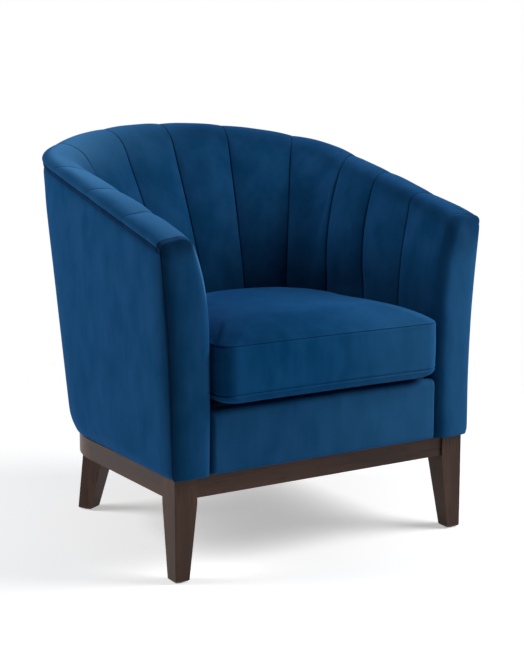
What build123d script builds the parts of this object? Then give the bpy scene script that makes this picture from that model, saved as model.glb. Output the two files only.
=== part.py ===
from build123d import *
import math
import os

# Channel back armchair: a wood base carries a leaning tub lined with stuffed channels, and a loose cushion.
# Millimetres, +Z up. The front faces -Y, and the origin is on the floor under the middle of the chair.

os.makedirs("parts", exist_ok=True)

# Wood base
base_width = 652.0
base_depth = 600.0
base_straight = 345.0
leg_clearance = 154.0
rail_height = 40.0
rail_thickness = 20.0
rail_recess = 4.5
leg_top_size = 46.5
leg_foot_size = 29.0
leg_shoulder = 10.0
foot_chamfer = 2.5
rear_leg_depth = 54.0
rear_leg_width = 46.0
rear_foot_size = 31.0
rear_leg_place = 42.0
rear_leg_turn = 30.0
rear_leg_rake = 35.0
rear_leg_inset = 0.5
glide_height = 2.0
glide_diameter = 18.0

# Corner blocks and bolts of the base
block_leg = 78.0
block_gap = 1.0
rear_block_width = 92.0
rear_block_reach = 84.0
leg_bolt_diameter = 8.0
leg_bolt_depth = 24.0
leg_bolt_reach = 48.0
rear_bolt_depth = 40.0
base_bolt_diameter = 6.0
bolt_head_size = 10.0
bolt_head_height = 4.0
bolt_clearance = 0.3
tee_nut_diameter = 19.0
tee_nut_thickness = 1.6
front_bolt_inset = 43.0
front_bolt_back = 78.0
rear_bolt_inset = 46.0
rear_bolt_shift = 24.0

# Tub: outer face, as it stands on the base and leans outward
tub_overhang_side = 10.0
tub_overhang_back = 13.0
tub_straight_overhang = 12.0
side_lean = 2.6
back_lean = 5.43
straight_lean = 8.0
foot_round = 7.0
foot_round_height = 18.0
foot_round_waist = 7.0
panel_thickness = 10.0
panel_proud = 6.0
panel_nose = 3.0
panel_seam = 210.0
band_recess = 1.5
band_thickness = 5.0
band_height = 11.0
fabric_gap = 0.5
cut_margin = 1.0

# Rim: the ridge line slopes up from the arm fronts to the back
arm_height = 627.0
back_height = 785.0
ridge_inset = 32.0
seam_drop = 15.0
rim_crown = 5.0
board_top_drop = 23.5
board_thickness = 18.0
board_inset = 11.0
board_inner_inset = 39.5
board_clear_inset = 46.5

# Channels: inside face at the deck, at seat level and at the shoulder under the rim
channel_count = 12
rim_seams = (0.0, 0.073, 0.154, 0.2325, 0.325, 0.4167, 0.5)
seat_seams = (0.0, 0.1, 0.1967, 0.2767, 0.35, 0.4242, 0.5)
channel_start = 2.0
channel_foot = 300.0
deck_half = 255.0
deck_straight = 215.0
deck_back_wall = 168.0
seat_level = 464.0
seat_half = 258.0
seat_straight = 230.0
seat_back_wall = 139.0
shoulder_inset = 86.5
shoulder_drop = 68.0
upper_inset = 67.5
upper_drop = 26.0
round_inset = 55.0
round_drop = 5.5
edge_inset = 10.0
edge_drop = 3.5
wall_crown = 6.0
shoulder_crown = 8.0
pad_thickness = 50.0
shoulder_pad = 40.0
rim_pad = 22.9
rim_lip_inset = 8.5

# Plywood frame
ring_thickness = 18.0
ring_width = 70.0
ring_inset = 18.5
seat_ring_level = 276.0
seat_ring_outset = 36.0
seat_ring_width = 46.0
rib_thickness = 18.0
rib_clearance = 10.0
rib_overrun = 18.0
ledge_depth = 20.0
arm_post_thickness = 30.0
front_rail_thickness = 21.7
webbing_width = 50.0
webbing_thickness = 2.0
webbing_spacing = 92.0
lengthwise_straps = 5
crosswise_straps = 4
dust_cover_thickness = 1.0

# Facings, front border, deck and cushion
facing_thickness = 14.0
facing_lip = 5.5
facing_outer_inset = 10.5
facing_foot_half = 253.0
facing_waist_half = 257.0
facing_waist = 470.0
facing_neck_half = 265.0
facing_neck_drop = 79.0
facing_top_half = 300.0
facing_edge = 4.0
border_half = 252.0
border_height = 122.0
border_thickness = 22.0
border_front = 12.0
border_crown = 4.0
border_edge = 8.0
deck_top = 322.0
deck_front = 11.0
deck_inset = 4.0
cushion_proud = 38.0
cushion_half = 245.0
cushion_straight = 212.0
cushion_back_wall = 180.0
cushion_corner = 30.0
cushion_draw = 4.0
cushion_gap = 0.3
cushion_low_seam = 20.0
cushion_boxing = 89.0
cushion_crown = 37.0
boxing_edge = 10.0
seam_draw = 2.0
cover_thickness = 2.5
foam_gap = 0.5
zip_height = 68.0
zip_width = 12.0
zip_thickness = 1.2
zip_gap = 0.2
zip_half_angle = 36.0
slider_length = 12.0
slider_width = 8.0
slider_thickness = 4.0
slider_angle = 33.0

# Places worked out from the sizes above
base_half = base_width / 2
base_top = leg_clearance + rail_height
rim_back = base_depth + tub_overhang_back + math.tan(math.radians(back_lean)) * (
    back_height - seam_drop - base_top
)
front = cushion_proud - (cushion_proud + rim_back) / 2
arm_front = front + channel_start
rim_slope = (back_height - arm_height) / (rim_back - ridge_inset - channel_start)
deck_back = base_depth - deck_back_wall
seat_back = base_depth - seat_back_wall
cushion_back = base_depth - cushion_back_wall
ring_top = base_top + ring_thickness
seat_ring_top = seat_ring_level + ring_thickness
loft_top = back_height + ridge_inset
foot_levels = (
    (base_top, foot_round),
    (base_top + foot_round_waist, foot_round * 0.35),
    (base_top + foot_round_height, 0.0),
)


def rim_height(y):
    """Height of the ridge plane at a depth y."""
    return arm_height + rim_slope * (y - arm_front)


def rim_plane(drop):
    """Sloping plane parallel to the rim, a drop below the ridge."""
    return Plane(origin=(0, arm_front, arm_height - drop), z_dir=(0, -rim_slope, 1))


def plan_arcs(half_width, depth):
    """Radii of the corner arcs and the rear arc that close a plan of this half width and depth."""
    spread = (half_width - depth) / (math.sqrt(2) - 1)
    corner = half_width - spread * math.sqrt(0.5)
    return corner, corner + spread


def plan_walk(half_width, start, straight, back, share):
    """Point and outward direction at a share of the way round a plan, from the left arm to the right."""
    corner, rear = plan_arcs(half_width, back - straight)
    side = straight - start
    bend = corner * math.pi / 4
    way = min(share, 1 - share) * 2 * (side + bend + rear * math.pi / 4)
    hand = -1 if share <= 0.5 else 1
    if way <= side:
        return Vector(hand * half_width, start + way), Vector(hand, 0)
    if way <= side + bend:
        angle = (way - side) / corner
        centre = Vector(hand * (half_width - corner), straight)
        radius = corner
    else:
        angle = math.pi / 4 + (way - side - bend) / rear
        centre = Vector(0, back - rear)
        radius = rear
    outward = Vector(hand * math.cos(angle), math.sin(angle))
    return centre + outward * radius, outward


def plan_sketch(height, half_width, start, straight, back, corner_round=0.0, draw=0.0):
    """Closed plan: straight front and sides, round back, with optional rounded and drawn-in front."""
    corner, rear = plan_arcs(half_width, back - straight)
    knee = rear * math.sqrt(0.5)
    turn = math.radians(22.5)
    bend = (half_width - corner + corner * math.cos(turn), straight + corner * math.sin(turn))
    knee_y = back - rear + knee
    with BuildSketch(Plane.XY.offset(height)) as plan:
        with BuildLine():
            if draw:
                ThreePointArc((-half_width, start), (0, start + draw), (half_width, start))
            else:
                Line((-half_width, start), (half_width, start))
            Line((half_width, start), (half_width, straight))
            ThreePointArc((half_width, straight), bend, (knee, knee_y))
            ThreePointArc((knee, knee_y), (0, back), (-knee, knee_y))
            ThreePointArc((-knee, knee_y), (-bend[0], bend[1]), (-half_width, straight))
            Line((-half_width, straight), (-half_width, start))
        make_face()
        if corner_round:
            fillet(plan.vertices().group_by(Axis.Y)[0], corner_round)
    return plan.sketch


def tub_plan(height):
    """Half width, straight length and back of the tub's outer face at a height."""
    rise = height - base_top
    half_width = base_half + tub_overhang_side + math.tan(math.radians(side_lean)) * rise
    straight = front + base_straight + tub_straight_overhang + math.tan(math.radians(straight_lean)) * rise
    back = front + base_depth + tub_overhang_back + math.tan(math.radians(back_lean)) * rise
    return half_width, straight, back


def tub_block(inset, start, nose=0.0):
    """Solid inside the tub's outer face, less an inset; rounded at the foot and, if asked, at the front."""
    sections = []
    for height, extra in (*foot_levels, (loft_top, 0.0)):
        half_width, straight, back = tub_plan(height)
        draw_in = inset + extra
        sections.append(plan_sketch(height, half_width - draw_in, start, straight, back - draw_in, nose))
    with BuildPart() as block:
        loft(sections=sections, ruled=True)
    return block.part


def base_block(inset, start, low, high):
    """Upright block inside the wood base's outline."""
    with BuildPart() as block:
        with BuildSketch(Plane.XY.offset(low)):
            add(plan_sketch(0, base_half - inset, start, front + base_straight, front + base_depth - inset))
        extrude(amount=high - low)
    return block.part


def rim_point(share):
    """Point of the outer face on the ridge plane, with its outward direction."""
    height = arm_height
    for _ in range(6):
        half_width, straight, back = tub_plan(height - seam_drop)
        point, outward = plan_walk(half_width, arm_front, straight, back, share)
        height = rim_height(point.Y)
    return point, outward


def seam_share(seams, place):
    """Share of the way round at a place counted in seams from the left arm front; both halves are alike."""
    if place > channel_count / 2:
        return 1 - seam_share(seams, channel_count - place)
    number = min(int(place), len(seams) - 2)
    return seams[number] + (seams[number + 1] - seams[number]) * (place - number)


class Wall:
    """Upright slice through the tub wall at a place counted in seams, measured inward from the rim."""

    def __init__(self, place):
        seat_share = seam_share(seat_seams, place)
        self.rim, outward = rim_point(seam_share(rim_seams, place))
        seat, _ = plan_walk(seat_half, arm_front, front + seat_straight, front + seat_back, seat_share)
        deck, _ = plan_walk(deck_half, arm_front, front + deck_straight, front + deck_back, seat_share)
        reach = self.rim - seat
        self.away = reach.normalized()
        self.skew = self.away.dot(outward)
        self.seat_reach = reach.length
        self.deck_reach = (self.rim - deck).dot(self.away)
        inward = self.away * -1
        self.plane = Plane(origin=self.rim, x_dir=inward, z_dir=inward.cross(Vector(0, 0, 1)))

    def place(self, inset, drop):
        """Point of the slice at an inset from the outer face and a drop below the ridge plane."""
        way = inset / self.skew
        return way, rim_height(self.rim.Y - self.away.Y * way) - drop

    def pad_back(self, clearance):
        """Back of the stuffing at the deck, the seat and the shoulder."""
        hold = (pad_thickness + clearance) / self.skew
        return (
            (self.deck_reach - hold, channel_foot),
            (self.seat_reach - hold, seat_level),
            self.place(shoulder_inset - shoulder_pad - clearance, shoulder_drop),
        )

    def channel_section(self, swell):
        """Section of the stuffing: up the inside, over the rim to the outer seam and back under itself."""
        crown = swell * wall_crown / self.skew
        deck = (self.deck_reach + crown, channel_foot)
        seat = (self.seat_reach + crown, seat_level)
        shoulder = self.place(shoulder_inset + swell * shoulder_crown, shoulder_drop)
        upper = self.place(upper_inset + swell * rim_crown, upper_drop - swell * rim_crown)
        over = self.place(round_inset + swell * rim_crown / 2, round_drop - swell * rim_crown)
        ridge = self.place(ridge_inset, -swell * rim_crown)
        edge = self.place(edge_inset, edge_drop - swell * rim_crown)
        seam = self.place(0, seam_drop)
        lip = self.place(rim_lip_inset, seam_drop)
        lip_under = self.place(rim_lip_inset, rim_pad)
        board_side = self.place(board_clear_inset, rim_pad)
        board_foot = self.place(board_clear_inset, board_top_drop + board_thickness)
        deck_under, seat_under, shoulder_under = self.pad_back(0)
        with BuildSketch(self.plane) as section:
            with BuildLine():
                Line(deck, seat)
                ThreePointArc(seat, shoulder, upper)
                ThreePointArc(upper, over, ridge)
                ThreePointArc(ridge, edge, seam)
                Polyline(seam, lip, lip_under, board_side, board_foot)
                Polyline(board_foot, shoulder_under, seat_under, deck_under, deck)
            make_face()
        return section.sketch

    def rib_sketch(self):
        """Outline of a plywood rib with a ledge for the seat ring; it runs past the outer face."""
        deck_edge, seat_edge, shoulder_edge = self.pad_back(rib_clearance)
        ledge = self.deck_reach - (seat_ring_outset - ledge_depth) / self.skew
        top = self.place(board_inner_inset, 0)
        with BuildSketch(self.plane) as outline:
            with BuildLine():
                Polyline(
                    (ledge, ring_top),
                    (ledge, seat_ring_level),
                    (deck_edge[0], seat_ring_level),
                    seat_edge,
                    shoulder_edge,
                    top,
                    (-rib_overrun, loft_top),
                    (-rib_overrun, ring_top),
                    close=True,
                )
            make_face()
        return outline.sketch


def leg_bolt_plane(hand):
    """Plane across the inner corner of a front leg, facing into the leg."""
    corner = (hand * (base_half - leg_top_size), front + leg_top_size, leg_clearance + rail_height / 2)
    return Plane(origin=corner, z_dir=(hand, -1, 0))


def keep(piece, name):
    """Label a finished piece and write it."""
    piece.label = name
    export_step(piece, f"parts/{name}.step")


# Wood base: front legs, square at the top and tapered on the two inner faces
leg_taper_top = leg_clearance - leg_shoulder
for side, hand in (("left", -1), ("right", 1)):
    corner_x = hand * base_half
    top_x = corner_x - hand * leg_top_size / 2
    foot_x = corner_x - hand * leg_foot_size / 2
    with BuildPart() as front_leg:
        with BuildSketch(Plane.XY.offset(glide_height)):
            with Locations((foot_x, front + leg_foot_size / 2)):
                Rectangle(leg_foot_size, leg_foot_size)
        with BuildSketch(Plane.XY.offset(leg_taper_top)):
            with Locations((top_x, front + leg_top_size / 2)):
                Rectangle(leg_top_size, leg_top_size)
        loft()
        with BuildSketch(Plane.XY.offset(leg_taper_top)):
            with Locations((top_x, front + leg_top_size / 2)):
                Rectangle(leg_top_size, leg_top_size)
        extrude(amount=base_top - leg_taper_top)
        chamfer(front_leg.faces().sort_by(Axis.Z)[0].edges(), foot_chamfer)
        with BuildSketch(leg_bolt_plane(hand).offset(-leg_bolt_diameter)):
            Circle(leg_bolt_diameter / 2 + bolt_clearance)
        extrude(amount=leg_bolt_diameter + leg_bolt_depth + bolt_clearance, mode=Mode.SUBTRACT)
    keep(front_leg.part, f"leg_front_{side}")

# Rear legs: turned outward under the bend of the back rail, and raked
wood_corner, wood_rear = plan_arcs(base_half, base_depth - base_straight)
place_angle = math.radians(rear_leg_place)
turn_angle = math.radians(rear_leg_turn)
for side, hand in (("left", -1), ("right", 1)):
    radial = Vector(hand * math.sin(place_angle), math.cos(place_angle))
    rake = Vector(hand * math.sin(turn_angle), math.cos(turn_angle))
    rail_face = Vector(0, front + base_depth - wood_rear) + radial * wood_rear
    top_centre = rail_face - radial * (rear_leg_inset + rear_leg_depth / 2)
    foot_centre = top_centre + rake * rear_leg_rake
    bolt_centre = top_centre - radial * leg_bolt_diameter
    with BuildPart() as rear_leg:
        foot_plane = Plane(origin=(foot_centre.X, foot_centre.Y, glide_height), x_dir=(rake.X, rake.Y, 0))
        with BuildSketch(foot_plane):
            Rectangle(rear_foot_size, rear_foot_size)
        top_plane = Plane(origin=(top_centre.X, top_centre.Y, leg_clearance), x_dir=(rake.X, rake.Y, 0))
        with BuildSketch(top_plane):
            Rectangle(rear_leg_depth, rear_leg_width)
        loft()
        chamfer(rear_leg.faces().sort_by(Axis.Z)[0].edges(), foot_chamfer)
        with Locations((bolt_centre.X, bolt_centre.Y, leg_clearance)):
            Hole(leg_bolt_diameter / 2 + bolt_clearance, rear_bolt_depth + bolt_clearance)
    keep(rear_leg.part, f"leg_rear_{side}")

# Rails of the base: the front rail stands a little behind the leg faces, the back rail is bent
rail_length = base_width - 2 * leg_top_size
with BuildPart() as front_rail:
    with BuildSketch(Plane.XY.offset(leg_clearance)):
        with Locations((0, front + rail_recess)):
            Rectangle(rail_length, rail_thickness, align=(Align.CENTER, Align.MIN))
    extrude(amount=rail_height)
keep(front_rail.part, "front_rail")

for side, hand in (("left", -1), ("right", 1)):
    with BuildPart() as side_rail:
        with BuildSketch(Plane.XY.offset(leg_clearance)):
            with Locations((hand * (base_half - rail_thickness / 2), front + leg_top_size)):
                Rectangle(rail_thickness, base_straight - leg_top_size, align=(Align.CENTER, Align.MIN))
        extrude(amount=rail_height)
    keep(side_rail.part, f"side_rail_{side}")

with BuildPart() as back_rail:
    add(base_block(0, front, leg_clearance, base_top))
    add(base_block(rail_thickness, front - cut_margin, leg_clearance, base_top), mode=Mode.SUBTRACT)
    split(bisect_by=Plane(origin=(0, front + base_straight, 0), z_dir=(0, 1, 0)), keep=Keep.TOP)
keep(back_rail.part, "back_rail")

# Corner blocks: the front pair fills the corner behind each leg, the rear pair carries the raked legs
inner_x = base_half - rail_thickness
inner_y = front + rail_recess + rail_thickness
leg_x = base_half - leg_top_size
leg_y = front + leg_top_size
block_top = base_top - block_gap
front_bolt = (base_half - front_bolt_inset, front + front_bolt_back)
rear_bolts = []
with BuildPart() as corner_blocks:
    for hand in (-1, 1):
        radial = Vector(hand * math.sin(place_angle), math.cos(place_angle))
        rail_face = Vector(0, front + base_depth - wood_rear) + radial * wood_rear
        block_middle = rail_face - radial * (rail_thickness + rear_block_reach / 2)
        along = Vector(-radial.Y * hand, radial.X * hand)
        rear_bolt = rail_face - radial * (rear_leg_depth + rear_bolt_inset) + along * rear_bolt_shift
        leg_bolt = rail_face - radial * (rear_leg_inset + rear_leg_depth / 2 + leg_bolt_diameter)
        rear_bolts.append((rear_bolt, leg_bolt))
        with BuildSketch(Plane.XY.offset(leg_clearance)):
            with BuildLine():
                Polyline(
                    (hand * leg_x, inner_y),
                    (hand * leg_x, leg_y),
                    (hand * inner_x, leg_y),
                    (hand * inner_x, leg_y + block_leg),
                    (hand * (leg_x - block_leg), inner_y),
                    close=True,
                )
            make_face()
        extrude(amount=block_top - leg_clearance)
        block_origin = (block_middle.X, block_middle.Y, leg_clearance)
        with BuildSketch(Plane(origin=block_origin, x_dir=(radial.X, radial.Y, 0))):
            Rectangle(rear_block_reach + rail_thickness, rear_block_width)
        extrude(amount=block_top - leg_clearance)
        front_hole = (hand * front_bolt[0], front_bolt[1], block_top)
        rear_hole = (rear_bolt.X, rear_bolt.Y, block_top)
        with Locations(front_hole, rear_hole):
            Hole(base_bolt_diameter / 2 + bolt_clearance, block_top - leg_clearance)
        with Locations((leg_bolt.X, leg_bolt.Y, block_top)):
            Hole(leg_bolt_diameter / 2 + bolt_clearance, block_top - leg_clearance)
        with BuildSketch(leg_bolt_plane(hand).offset(leg_bolt_diameter)):
            Circle(leg_bolt_diameter / 2 + bolt_clearance)
        extrude(amount=-(leg_bolt_diameter + block_leg), mode=Mode.SUBTRACT)
    add(base_block(rail_thickness, front, leg_clearance, base_top), mode=Mode.INTERSECT)
keep(corner_blocks.part, "corner_blocks")

# Bolts: one holds each leg to its block, one draws each block up to the bottom ring
with BuildPart() as leg_bolts:
    for hand, (rear_bolt, leg_bolt) in zip((-1, 1), rear_bolts):
        with BuildSketch(leg_bolt_plane(hand).offset(leg_bolt_depth)):
            Circle(leg_bolt_diameter / 2)
        extrude(amount=-(leg_bolt_depth + leg_bolt_reach))
        with BuildSketch(Plane.XY.offset(leg_clearance - rear_bolt_depth)):
            with Locations((leg_bolt.X, leg_bolt.Y)):
                Circle(leg_bolt_diameter / 2)
        extrude(amount=rear_bolt_depth + rail_height - block_gap)
keep(leg_bolts.part, "leg_bolts")

bolt_places = [
    (-front_bolt[0], front_bolt[1]),
    front_bolt,
    (rear_bolts[0][0].X, rear_bolts[0][0].Y),
    (rear_bolts[1][0].X, rear_bolts[1][0].Y),
]
with BuildPart() as base_bolts:
    with BuildSketch(Plane.XY.offset(leg_clearance)):
        with Locations(*bolt_places):
            RegularPolygon(bolt_head_size / 2, 6)
    extrude(amount=-bolt_head_height)
    with BuildSketch(Plane.XY.offset(leg_clearance)):
        with Locations(*bolt_places):
            Circle(base_bolt_diameter / 2)
    extrude(amount=ring_top + tee_nut_thickness - leg_clearance)
keep(base_bolts.part, "base_bolts")

with BuildPart() as tee_nuts:
    with BuildSketch(Plane.XY.offset(ring_top)):
        with Locations(*bolt_places):
            Circle(tee_nut_diameter / 2)
            Circle(base_bolt_diameter / 2 + bolt_clearance, mode=Mode.SUBTRACT)
    extrude(amount=tee_nut_thickness)
keep(tee_nuts.part, "tee_nuts")

foot_places = []
for hand in (-1, 1):
    radial = Vector(hand * math.sin(place_angle), math.cos(place_angle))
    rake = Vector(hand * math.sin(turn_angle), math.cos(turn_angle))
    rail_face = Vector(0, front + base_depth - wood_rear) + radial * wood_rear
    foot = rail_face - radial * (rear_leg_inset + rear_leg_depth / 2) + rake * rear_leg_rake
    foot_places.append((hand * (base_half - leg_foot_size / 2), front + leg_foot_size / 2))
    foot_places.append((foot.X, foot.Y))
with BuildPart() as glides:
    with BuildSketch():
        with Locations(*foot_places):
            Circle(glide_diameter / 2)
    extrude(amount=glide_height)
keep(glides.part, "foot_glides")

# Frame of the tub: bottom ring, ribs and posts, seat ring and sloping rim board
with BuildPart() as bottom_ring:
    outer_half, outer_straight, outer_back = tub_plan(base_top)
    with BuildSketch(Plane.XY.offset(base_top)):
        add(plan_sketch(0, outer_half - ring_inset, front + rail_recess + rail_thickness / 2,
                        outer_straight, outer_back - ring_inset))
        add(plan_sketch(0, outer_half - ring_inset - ring_width, front + ring_width,
                        outer_straight, outer_back - ring_inset - ring_width), mode=Mode.SUBTRACT)
    extrude(amount=ring_thickness)
    with Locations(*[(x, y, ring_top) for x, y in bolt_places]):
        Hole(base_bolt_diameter / 2 + bolt_clearance, ring_thickness)
keep(bottom_ring.part, "bottom_ring")

with BuildPart() as seat_ring:
    ring_half = deck_half + seat_ring_outset
    ring_back = front + deck_back + seat_ring_outset
    ring_front = front + border_thickness - border_front + fabric_gap
    with BuildSketch(Plane.XY.offset(seat_ring_level)):
        add(plan_sketch(0, ring_half, ring_front, front + deck_straight, ring_back))
        add(plan_sketch(0, ring_half - seat_ring_width, ring_front + seat_ring_width,
                        front + deck_straight, ring_back - seat_ring_width), mode=Mode.SUBTRACT)
    extrude(amount=ring_thickness)
keep(seat_ring.part, "seat_ring")

with BuildPart() as rim_board:
    add(tub_block(board_inset, arm_front))
    add(tub_block(board_inner_inset, arm_front - cut_margin), mode=Mode.SUBTRACT)
    split(bisect_by=rim_plane(board_top_drop), keep=Keep.BOTTOM)
    split(bisect_by=rim_plane(board_top_drop + board_thickness), keep=Keep.TOP)
keep(rim_board.part, "rim_board")

rib_core = tub_block(panel_thickness + fabric_gap, arm_front)
rib_top = rim_plane(board_top_drop + board_thickness)
for name, place in (("side", 1.5), ("corner", 3.5), ("back", 5.5)):
    for side, wall in (("left", Wall(place)), ("right", Wall(channel_count - place))):
        with BuildPart() as rib:
            extrude(wall.rib_sketch(), amount=rib_thickness / 2, both=True)
            add(rib_core, mode=Mode.INTERSECT)
            split(bisect_by=rib_top, keep=Keep.BOTTOM)
        keep(rib.part, f"{name}_rib_{side}")

for side, wall, way in (("left", Wall(0), -1), ("right", Wall(channel_count), 1)):
    with BuildPart() as arm_post:
        extrude(wall.rib_sketch(), amount=way * arm_post_thickness)
        add(rib_core, mode=Mode.INTERSECT)
        split(bisect_by=rib_top, keep=Keep.BOTTOM)
    keep(arm_post.part, f"arm_post_{side}")

with BuildPart() as seat_front_rail:
    post_half = deck_half + seat_ring_outset - ledge_depth
    with BuildSketch(Plane.XY.offset(ring_top)):
        with Locations((0, ring_front)):
            Rectangle(2 * post_half, front_rail_thickness, align=(Align.CENTER, Align.MIN))
    extrude(amount=seat_ring_level - ring_top)
keep(seat_front_rail.part, "seat_front_rail")

# Seat suspension: straps stapled to the seat ring, the crosswise ones over the lengthwise ones
strap_hold = seat_ring_width / 2
strap_middle = (ring_front + ring_back) / 2
with BuildPart() as lengthwise_webbing:
    with BuildSketch(Plane.XY.offset(seat_ring_top)):
        add(plan_sketch(0, ring_half - strap_hold, ring_front + strap_hold,
                        front + deck_straight, ring_back - strap_hold))
        with Locations((0, strap_middle)):
            with GridLocations(webbing_spacing, 0, lengthwise_straps, 1):
                Rectangle(webbing_width, base_depth, mode=Mode.INTERSECT)
    extrude(amount=webbing_thickness)
keep(lengthwise_webbing.part, "webbing_lengthwise")

with BuildPart() as crosswise_webbing:
    with BuildSketch(Plane.XY.offset(seat_ring_top + webbing_thickness)):
        add(plan_sketch(0, ring_half - strap_hold, ring_front + strap_hold,
                        front + deck_straight, ring_back - strap_hold))
        with Locations((0, strap_middle)):
            with GridLocations(0, webbing_spacing, 1, crosswise_straps):
                Rectangle(base_width, webbing_width, mode=Mode.INTERSECT)
    extrude(amount=webbing_thickness)
keep(crosswise_webbing.part, "webbing_crosswise")

deck_foot = seat_ring_top + 2 * webbing_thickness
with BuildPart() as deck_pad:
    with BuildSketch(Plane.XY.offset(deck_foot)):
        add(plan_sketch(0, cushion_half - deck_inset, front + deck_front,
                        front + cushion_straight, front + cushion_back - deck_inset))
    extrude(amount=deck_top - deck_foot)
keep(deck_pad.part, "deck_pad")

with BuildPart() as dust_cover:
    add(base_block(rail_thickness + fabric_gap, inner_y + fabric_gap, block_top, base_top))
    for hand in (-1, 1):
        with Locations((hand * base_half, front, block_top)):
            Box(2 * (leg_top_size + fabric_gap), 2 * (leg_top_size + fabric_gap), 4 * dust_cover_thickness,
                mode=Mode.SUBTRACT)
    with Locations(*[(x, y, base_top) for x, y in bolt_places]):
        Hole(base_bolt_diameter / 2 + bolt_clearance, base_top - block_top)
keep(dust_cover.part, "dust_cover")

# Channels: each is lofted across its width, from seam to seam, with its crown in the middle
for number in range(channel_count):
    sections = []
    for step in (0.0, 0.25, 0.5, 0.75, 1.0):
        sections.append(Wall(number + step).channel_section(4 * step * (1 - step)))
    with BuildPart() as channel:
        loft(sections=sections)
    keep(channel.part, f"channel_{number + 1:02d}")

# Outside panels: a padded skin over the frame, in a back and two sides that turn in at the arm fronts
panel_start = front - panel_proud
panel_plane = rim_plane(seam_drop + band_height + fabric_gap)
with BuildPart() as outside_skin:
    add(tub_block(0, panel_start, panel_nose))
    add(tub_block(panel_thickness, panel_start - cut_margin), mode=Mode.SUBTRACT)
    split(bisect_by=panel_plane, keep=Keep.BOTTOM)
seam_left = Plane(origin=(-panel_seam, 0, 0), z_dir=(1, 0, 0))
seam_right = Plane(origin=(panel_seam, 0, 0), z_dir=(1, 0, 0))
with BuildPart() as outside_back:
    add(outside_skin.part)
    split(bisect_by=seam_left, keep=Keep.TOP)
    split(bisect_by=seam_right, keep=Keep.BOTTOM)
keep(outside_back.part, "outside_back")
with BuildPart() as outside_left:
    add(outside_skin.part)
    split(bisect_by=seam_left, keep=Keep.BOTTOM)
keep(outside_left.part, "outside_left")
with BuildPart() as outside_right:
    add(outside_skin.part)
    split(bisect_by=seam_right, keep=Keep.TOP)
keep(outside_right.part, "outside_right")

# Rim band: the strip under the channels' outer seam
with BuildPart() as rim_band:
    add(tub_block(band_recess, arm_front))
    add(tub_block(band_recess + band_thickness, arm_front - cut_margin), mode=Mode.SUBTRACT)
    split(bisect_by=rim_plane(seam_drop + fabric_gap), keep=Keep.BOTTOM)
    split(bisect_by=rim_plane(seam_drop + band_height), keep=Keep.TOP)
keep(rim_band.part, "rim_band")

# Arm facings: the padded front of each arm, with a soft inner edge and a lip over the panel's end and top
facing_top = arm_height - round_drop / 2
ear_foot = arm_height - seam_drop - band_height
ear_half = tub_plan(ear_foot)[0]
outer_top = tub_plan(arm_height)[0] - band_recess
facing_layers = (
    (0.0, facing_thickness - facing_lip, facing_outer_inset),
    (facing_thickness - facing_lip, facing_lip, band_recess),
)
for side, hand in (("left", -1), ("right", 1)):
    with BuildPart() as facing:
        for behind, thickness, outer_inset in facing_layers:
            face_origin = (0, arm_front - behind, 0)
            with BuildSketch(Plane(origin=face_origin, x_dir=(1, 0, 0), z_dir=(0, -1, 0))):
                with BuildLine():
                    foot = (hand * facing_foot_half, base_top)
                    waist = (hand * facing_waist_half, facing_waist)
                    shoulder = (hand * facing_top_half, facing_top)
                    corner = (hand * outer_top, arm_height - seam_drop)
                    edge = [(hand * (ear_half - band_recess), ear_foot)]
                    if outer_inset > band_recess:
                        edge.append((hand * (ear_half - outer_inset), ear_foot))
                    for height, extra in reversed(foot_levels):
                        edge.append((hand * (tub_plan(height)[0] - extra - outer_inset), height))
                    Line(foot, waist)
                    ThreePointArc(waist, (hand * facing_neck_half, arm_height - facing_neck_drop), shoulder)
                    ThreePointArc(shoulder, (hand * (outer_top - ridge_inset), arm_height), corner)
                    Polyline(corner, *edge, foot)
                make_face()
            extrude(amount=thickness)
        front_edges = facing.faces().sort_by(Axis.Y)[0].edges()
        fillet(front_edges.filter_by(lambda edge: edge.length > 2 * facing_outer_inset), facing_edge)
    keep(facing.part, f"arm_facing_{side}")

with BuildPart() as front_border:
    with BuildSketch(Plane.XY.offset(base_top)):
        with BuildLine():
            border_face = front - border_front
            border_rear = border_face + border_thickness
            left_end = (-border_half, border_face)
            right_end = (border_half, border_face)
            ThreePointArc(left_end, (0, border_face - border_crown), right_end)
            Polyline(right_end, (border_half, border_rear), (-border_half, border_rear), left_end)
        make_face()
    extrude(amount=border_height)
    fillet(front_border.faces().sort_by(Axis.Z)[-1].edges().sort_by(Axis.Y)[0], border_edge)
keep(front_border.part, "front_border")

# Seat cushion: crowned top and underside, boxing drawn in at its two seams, front edge drawn in
cushion_foot = deck_top + cushion_gap
low_seam = cushion_foot + cushion_low_seam
top_seam = low_seam + cushion_boxing
cushion_top = top_seam + cushion_crown
cushion_middle = (cushion_foot + cushion_top) / 2
crown_levels = (
    (cushion_foot, 30.0),
    (cushion_foot + 0.12 * cushion_low_seam, 14.0),
    (cushion_foot + 0.5 * cushion_low_seam, 4.5),
    (low_seam, seam_draw),
    (low_seam + boxing_edge, 0.0),
    (top_seam - boxing_edge, 0.0),
    (top_seam, seam_draw),
    (top_seam + 0.4 * cushion_crown, 12.0),
    (top_seam + 0.7 * cushion_crown, 34.0),
    (top_seam + 0.9 * cushion_crown, 72.0),
    (cushion_top, 130.0),
)


def cushion_block(shrink):
    """Loft of the cushion's plan up its crowned profile, made smaller all round by a shrink."""
    squeeze = 1 - 2 * shrink / (cushion_top - cushion_foot)
    sections = []
    for height, inset in crown_levels:
        draw_in = inset + shrink
        sections.append(
            plan_sketch(
                cushion_middle + (height - cushion_middle) * squeeze,
                cushion_half - draw_in,
                front - cushion_proud + draw_in,
                front + cushion_straight,
                front + cushion_back - draw_in,
                cushion_corner,
                cushion_draw,
            )
        )
    with BuildPart() as block:
        loft(sections=sections, ruled=True)
    return block.part


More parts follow.
